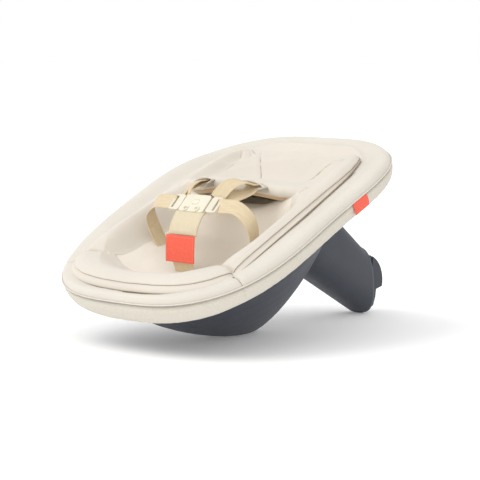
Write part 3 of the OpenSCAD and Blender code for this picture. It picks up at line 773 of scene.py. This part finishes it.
def insert_liner():
    """The flat part of the insert: one padded sheet that runs under the lip."""
    half = spline(EDGE_WAY, 260)
    half = half[half[:, 1] < INSERT_END - 14]
    full = np.vstack([half, half[-2::-1] * [-1, 1, -1, 1]])
    inward = full[:, 2:] - full[:, :2]
    inward /= np.linalg.norm(inward, axis=1)[:, None]
    reach = np.interp(full[:, 1], LIP_V, LIP_REACH)
    line = full[:, :2] + inward * (reach - 14)[:, None]
    first, last = line[0], line[-1]
    head = np.linspace(last, first, 70)[1:-1]
    head[:, 1] += 10 * np.sin(np.linspace(0, math.pi, len(head)))
    border = np.vstack([line, head])
    middle = np.array([0.0, -60.0])
    rho = np.linspace(0.02, 1, 96)[:, None]
    plan = middle + (border - middle)[None] * rho[..., None]
    x, v = plan[..., 0], plan[..., 1]
    top = insert_base(x, v) - insert_crease(x, v)
    thin = mix(9.0, 5.0, smooth((rho - 0.85) / 0.15))
    top_grid = np.stack([x, v, top], -1)
    bottom_grid = np.stack([x, v, top - thin], -1)
    grid = np.concatenate([top_grid, bottom_grid[::-1]])
    # The liner gets the lighter knit: painted light on the shaded inside of the seat.
    return skin("insert_liner", seat(grid)[::-1], LINER_PAINTED_LIGHT)


# ---- head pad and yoke ---------------------------------------------------------------


def head_surface(x, v):
    """Top of the head pad, and how full and how fallen it is there."""
    share = np.clip((4 - dish(x, v)) / 14, 0, 1)
    fallen = smooth((v - 58) / 118)
    line = 39 - 17 * (x / 130) ** 2
    low = dish(x, v) + 7.6 * share + inner_edge(v) - 3.4
    return mix(line, low, fallen), share, fallen


# How far up the head pad its sewn lines run
SEAM_TOP = 214


def head_pad():
    """Pad behind the head, with one sewn line down each side."""
    v = np.linspace(60, 270, 110)[:, None]
    across = np.linspace(-1, 1, 130)[None]
    width = mix(142, half_at(v, 186, 279), smooth((v - 140) / 40))
    x = across * width
    top, share, fallen = head_surface(x, v)
    v = v + 0 * x
    for side in (-1, 1):
        line = side * (104 - 0.71 * (226 - v))
        strength = smooth((v - 118) / 30) * smooth((SEAM_TOP + 14 - v) / 20)
        top = top - strength * groove(x - line, 2.4, 1.9)
        top = top + strength * 0.8 * np.exp(-(((np.abs(x - line) - 9) / 7) ** 2))
        pucker = np.exp(-((x - line) / 9) ** 2) * np.sin(v * FULL_TURN / 13 + x / 9)
        top = top + strength * 0.22 * pucker
    top = top + 0.6 * ripple(x, v, 110, 71)
    top = top - 1.4 * np.abs(across) ** 24
    thick = 3 + 6.4 * np.maximum(share, 1 - fallen)
    grid_top = np.stack([x, v, top], -1)
    grid_bottom = np.stack([x, v, top - thick], -1)
    seam_shades = []
    for side, word in ((-1, "left"), (1, "right")):
        rows = np.where((v[:, 0] > 112) & (v[:, 0] < SEAM_TOP))[0]
        line_x = side * (104 - 0.71 * (226 - v[rows, 0]))
        line_n = [np.interp(at, x[k], top[k]) for k, at in zip(rows, line_x)]
        path = spline(np.stack([line_x, v[rows, 0], np.array(line_n) - 0.1], -1)[::6], 90)
        # A dark cord in each sewn line: painted shade.
        seam_shades.append(seam_shade_line(f"head_seam_shade_{word}", path, 0.55))
    return slab("head_cushion", seat(grid_top), seat(grid_bottom), INSERT), seam_shades


# Middle line of the yoke from left to right, and where its two strap openings are
YOKE_WAY = [
    (-146, 68, 13), (-126, 60, 20), (-90, 47, 31), (-45, 39, 41), (0, 37, 44), (45, 39, 41),
    (90, 47, 31), (126, 60, 20), (146, 68, 13),
]
SLEEVES = (-58, 58)


def yoke_frame(count):
    """Middle line of the yoke with its side and up directions."""
    path = spline(YOKE_WAY, count)
    across = np.tile([0.0, 1.0, -0.1], (count, 1))
    _, side, up = frames(path, across)
    up = np.where(up[:, 2:3] < 0, -up, up)
    return path, side, up


def shoulder_yoke():
    """Soft roll across the lower edge of the head cushion; the tan strip along its bottom edge is
    painted shade, drawn as a separate piece.
    """
    count = 200
    path, side, up = yoke_frame(count)
    outline = spline([
        (-9.5, -7.5), (-12, -5.4), (-13.0, -1.2), (-11.2, 4.6), (-6.5, 8.8), (0, 10.2),
        (7, 9.0), (14, 5.2), (21, 0.2), (27, -5), (30, -9.5), (24, -12.6), (10, -11),
        (0, -9.5), (-6, -8.4),
    ], 48, closed=True)
    s = lengths(path)
    end = np.minimum(s, s[-1] - s)[:, None]
    grow = np.clip(1 - (1 - np.clip(end / 16, 0, 1)) ** 2.2, 0.03, 1) ** 0.5
    a = outline[:, 0][None] * grow
    b = outline[:, 1][None] * grow
    b = b + 0.5 * ripple(s[:, None], a, 60, 81) * grow
    front = np.exp(-((outline[:, 0] + 12) / 5) ** 2)[None]
    a = a + 0.5 * ripple(s[:, None], 0 * s[:, None], 22, 82) * front
    for slot in SLEEVES:
        near = smooth((23 - np.abs(path[:, 0] - slot)) / 7)[:, None]
        facing = np.exp(-((outline[:, 0] + 12.5) / 4.5) ** 2 - ((outline[:, 1] - 1) / 5) ** 2)
        a = a + 9 * near * facing[None]
    grid = path[:, None] + side[:, None] * a[..., None] + up[:, None] * b[..., None]
    return skin("shoulder_yoke_roll", seat(grid), INSERT)


def yoke_shade_strip():
    """Tan strip along the lower front edge of the yoke: painted shade where the yoke's edge shades
    the panel below.
    """
    path, side, up = yoke_frame(90)
    way = (path - side * 8.0 - up * 10.5)[6:-6]
    return webbing("yoke_painted_shade_strip", way, [(0, -0.12, 1)] * 3, 9.0, YOKE_SHADE)


def sleeve(x0, name):
    """Bound fish-mouth opening that a shoulder strap comes out of."""
    sign = math.copysign(1, x0)
    centre = np.array([x0, 27.0, 50.0])
    wide = np.array([1.0, 0.05 * sign, -0.2 * sign])
    wide /= np.linalg.norm(wide)
    out = np.array([0.0, -0.86, 0.5])
    out /= np.linalg.norm(out)
    high = np.cross(wide, out)
    high = high if high[2] > 0 else -high
    turn = np.linspace(0, FULL_TURN, 96, endpoint=False)
    half_w, half_h = 24.0, 5.6
    lens_w = np.cos(turn)
    lens_h = np.sin(turn) * (1 - 0.35 * np.cos(turn) ** 2)
    loops = [
        (-6, 0.92, 0.8, 0.0), (0, 1.0, 0.95, 0.0), (4, 1.02, 1.15, 0.4), (6.6, 1.04, 1.35, 0.5),
        (7.6, 1.03, 1.2, 0.0), (6.8, 1.0, 1.0, -1.0), (3, 0.97, 0.8, -1.2), (-4, 0.9, 0.55, -1.0),
    ]
    rings = []
    for depth, kw, kh, grow in loops:
        w = lens_w * (half_w * kw + grow)
        h = lens_h * (half_h * kh + grow)
        droop = -1.8 * np.clip(-lens_h, 0, 1) * max(depth, 0) / 7
        rings.append(centre + wide * w[:, None] + high * (h + droop)[:, None]
                     + out * (depth + 0.5 * ripple(turn * 20, 0 * turn, 24, 91))[:, None])
    grid = np.array(rings)
    return skin(name, seat(grid), INSERT, loop_rows=True)


lip, lip_shade_lines = insert_lip()
done(lip,
     replaces=["insert_foot_roll", "insert_side_right", "insert_side_left"])
for lip_shade_line in lip_shade_lines:
    done(lip_shade_line)
done(insert_liner(), replaces=["insert_pad"])
head_cushion, head_seam_shades = head_pad()
done(head_cushion, replaces=["head_pad"])
for head_seam_shade in head_seam_shades:
    done(head_seam_shade)
done(shoulder_yoke(), replaces=["shoulder_yoke"])
# Tan strip under the yoke: painted shade.
done(yoke_shade_strip())
done(sleeve(58, "sleeve_right"), replaces=["strap_bindings"])
done(sleeve(-58, "sleeve_left"), replaces=["strap_bindings"])

# ---- harness -------------------------------------------------------------------------

LAP_WAY = [
    (50, -62, 56), (66, -62, 56.5), (90, -62, 56), (108, -63, 46), (119, -65, 30),
    (120, -66, 10), (114, -69, -12), (105, -71, -34),
]
SHOULDER_WAY = {
    "right": [(38, -47, 61), (43, -38, 68), (51, -20, 75), (58, 0, 71), (60, 15, 59), (59, 32, 50)],
    "left": [(32, -48, 59), (36, -40, 62), (45, -22, 64), (54, -2, 61), (59, 14, 56), (60, 32, 50)],
}
SHOULDER_UNDER_WAY = [
    (46, -46, 57), (54, -34, 56), (62, -18, 53), (65, 0, 50), (62, 16, 49), (59, 34, 49),
]


def mirrored(way, sign):
    """The same way on the right (1) or the left (-1)."""
    return [(sign * p[0], p[1], p[2]) for p in way]


def harness_side(sign, word):
    """Lap tape and doubled shoulder tape of one side, from its tongue to the seat."""
    lap = webbing(f"lap_tape_{word}", mirrored(LAP_WAY, sign),
                  mirrored([(0, 0.79, 0.61), (0, 0.93, 0.35), (0, 1, 0.05)], sign), 27, TAPE)
    over = SHOULDER_WAY[word]
    shoulder = webbing(f"shoulder_tape_{word}", mirrored(over, sign),
                       mirrored([(0.76, 0, -0.65), (0.9, 0, -0.3), (1, -0.1, -0.1)], sign),
                       26, TAPE)
    under = webbing(f"shoulder_under_tape_{word}", mirrored(SHOULDER_UNDER_WAY, sign),
                    mirrored([(0.8, 0, -0.6), (0.9, 0.1, -0.3), (1, -0.1, -0.1)], sign),
                    25, TAPE)
    for piece, start, end, nodes in (
        (lap, LAP_WAY[2], LAP_WAY[5], [f"lap_strap_{word}"]),
        (shoulder, over[1], over[4], [f"shoulder_strap_{word}"]),
        (under, SHOULDER_UNDER_WAY[1], SHOULDER_UNDER_WAY[4], []),
    ):
        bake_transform(piece)
        if nodes:
            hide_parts(*nodes)


harness_side(1, "right")
harness_side(-1, "left")

CROTCH_WAY = [
    (0, -133, -44), (0, -133.5, -33), (0, -132, -14), (0, -118, 11), (0, -98, 31.5),
    (0, -84, 41.5), (0, -76, 46),
]
CROTCH_PAD_WAY = [(0, -115, 24), (0, -103, 37), (0, -88, 46.8), (0, -80, 50.5)]
LABEL_WIDTH = 68
LABEL_WAY = [(0, -139.6, -16), (0, -133.4, -2), (0, -126.2, 12.5), (0, -118.5, 26)]


def flat_piece(name, way, width, thickness, material, count=40, crown=0.0):
    """Strip facing forward, with rounded edges and an optional padded crown."""
    path = spline(way, count)
    across = np.tile([1.0, 0.0, 0.0], (count, 1))
    _, side, up = frames(path, across)
    up = np.where(up[:, 1:2] > 0, -up, up)
    cols = 40
    a = np.linspace(-1, 1, cols)
    s = lengths(path)
    end = np.minimum(s, s[-1] - s)[:, None]
    fade = (1 - a**8)[None] * smooth(end / 3 + 0.2)
    face = thickness / 2 * (0.45 + 0.55 * fade) + crown * (1 - a**4)[None] * smooth(end / 8)
    back = -thickness / 2 * (0.45 + 0.55 * fade)
    flat = path[:, None] + side[:, None] * (a * width / 2)[None, :, None]
    front_grid = flat + up[:, None] * face[..., None]
    back_grid = flat + up[:, None] * back[..., None]
    grid = np.concatenate([front_grid, back_grid[:, ::-1]], 1)
    return skin(name, seat(grid), material), path, side, up


crotch_tape, *_ = flat_piece("crotch_tape", CROTCH_WAY, 48, 2.0, TAPE, 60)
done(crotch_tape, replaces=["crotch_strap"])
crotch_pad, *_ = flat_piece("crotch_cushion", CROTCH_PAD_WAY, 66, 4.4, TAPE_PALE, 40, 1.6)
done(crotch_pad, replaces=["crotch_pad"])
label, label_path, label_side, label_up = flat_piece(
    "crotch_label_cloth", LABEL_WAY, LABEL_WIDTH, 1.2, LABEL, 40)
done(label, replaces=["crotch_label"])
stitch_half = LABEL_WIDTH / 2 - 3.2
keep = slice(3, -3)
border_rows = []
for sign in (-1, 1):
    border_rows.append(label_path[keep] + label_side[keep] * sign * stitch_half)
for at in (3, -4):
    across = np.linspace(-stitch_half, stitch_half, 40)[:, None]
    border_rows.append(label_path[at] + label_side[at] * across)
for k, row in enumerate(border_rows):
    up = label_up[keep] if k < 2 else np.tile(label_up[(3, -4)[k - 2]], (len(row), 1))
    piece = stitches(f"label_stitches_{k + 1}", row + up * 0.6, up, LABEL_THREAD, 3.6, 2.5, 0.3)
    done(piece)


def side_tag():
    """Folded tag sewn into the piping seam."""
    angles = np.radians(np.linspace(5, 11.1, 14))
    drop = np.linspace(-1.5, -22, 16)
    top, bottom = [], []
    for n in drop:
        d = 1.9 + 0.8 * math.sin(-n / 22 * 3) + 0 * angles
        top.append(outside(angles, (d + 0.8)[:, None], n)[:, 0])
        bottom.append(outside(angles, (d - 0.6)[:, None], n)[:, 0])
    return slab("side_tag_cloth", seat(np.array(top)), seat(np.array(bottom)), LABEL)


tag = done(side_tag(), replaces=["side_tag"])

# ---- CAD nodes that stay -------------------------------------------------------------

for node in ("seat_shell", "neck_tube", "release_button", "strap_anchors"):
    finish_node(node, SHELL)
# The collar gets the lighter plastic: painted highlight on the lip's edge.
finish_node("neck_collar", SHELL_LIP_HIGHLIGHT)
# The plug gets the darker plastic: painted shade in the gap behind the lip.
finish_node("plug_body", SHELL_PLUG_SHADE)
for node in ("mount_plate", "neck_screws", "latch_bolt", "latch_spring"):
    finish_node(node, STEEL)
# The pin is near-black: painted shade in the plug's hole.
finish_node("plug_pin", PIN_SHADE)
for node in ("buckle_body", "buckle_cover", "buckle_button", "tongue_left", "tongue_right"):
    finish_node(node, BUCKLE)

# ---- floor, light and camera ---------------------------------------------------------


FLOOR_GLOW = 0.14
FLOOR_REACH = 14.0


def plain_floor():
    """Pale paper floor that gives off a little light of its own."""
    made = Finish("floor_paper", 0.9)
    made.colour(made.noise(3.0), [(0.3, (0.96, 0.96, 0.96)), (0.7, (0.975, 0.975, 0.975))])
    reach = FLOOR_REACH
    points = [(-reach, -reach, 0), (reach, -reach, 0), (reach, reach, 0), (-reach, reach, 0)]
    made.shader.inputs["Emission Color"].default_value = (1, 1, 1, 1)
    made.shader.inputs["Emission Strength"].default_value = FLOOR_GLOW
    floor = new_object("floor", points, [(0, 1, 2, 3)], made.material)


def sun(name, towards, strength, spread):
    """Very soft directional light from a direction given in the row frame."""
    data = bpy.data.lights.new(name, "SUN")
    data.energy = strength
    data.angle = math.radians(spread)
    lamp = bpy.data.objects.new(name, data)
    bpy.context.scene.collection.objects.link(lamp)
    lamp.rotation_euler = Vector(towards).to_track_quat("Z", "Y").to_euler()


def sky(strength, background):
    """Even white light, with its own brightness where the camera sees it."""
    world = bpy.data.worlds.new("studio")
    bpy.context.scene.world = world
    world.use_nodes = True
    tree = world.node_tree
    light = tree.nodes["Background"]
    light.inputs["Color"].default_value = (1, 1, 1, 1)
    light.inputs["Strength"].default_value = strength
    behind = tree.nodes.new("ShaderNodeBackground")
    behind.inputs["Color"].default_value = (1, 1, 1, 1)
    behind.inputs["Strength"].default_value = background
    choice = tree.nodes.new("ShaderNodeMixShader")
    path = tree.nodes.new("ShaderNodeLightPath")
    tree.links.new(path.outputs["Is Camera Ray"], choice.inputs["Fac"])
    tree.links.new(light.outputs[0], choice.inputs[1])
    tree.links.new(behind.outputs[0], choice.inputs[2])
    tree.links.new(choice.outputs[0], tree.nodes["World Output"].inputs["Surface"])


def camera():
    """Long lens from the foot end, right of the seat and just above it."""
    azimuth = math.radians(42.84)
    elevation = math.radians(5.83)
    distance = 3.5
    back = Vector((math.sin(azimuth) * math.cos(elevation),
                   -math.cos(azimuth) * math.cos(elevation), math.sin(elevation)))
    right = Vector((math.cos(azimuth), math.sin(azimuth), 0))
    up = back.cross(right)
    rim_middle = Vector((0, -MIDDLE_SHIFT * MM, RIM_HEIGHT * MM))
    place = rim_middle + back * distance
    target = rim_middle + right * 0.0216 - up * 0.0435
    data = bpy.data.cameras.new("camera")
    data.lens = 149.6
    data.sensor_width = 36
    made = bpy.data.objects.new("camera", data)
    bpy.context.scene.collection.objects.link(made)
    made.location = place
    made.rotation_euler = (target - place).to_track_quat("-Z", "Y").to_euler()
    bpy.context.scene.camera = made


plain_floor()
sky(0.82, 1.0)
sun("key", (-0.50, -0.80, 1.0), 1.0, 45)
sun("top", (0.35, -0.35, 1.0), 0.45, 70)
sun("front", (0.9, -1.0, 0.7), 0.12, 60)
camera()
bpy.context.scene.view_settings.view_transform = "Standard"
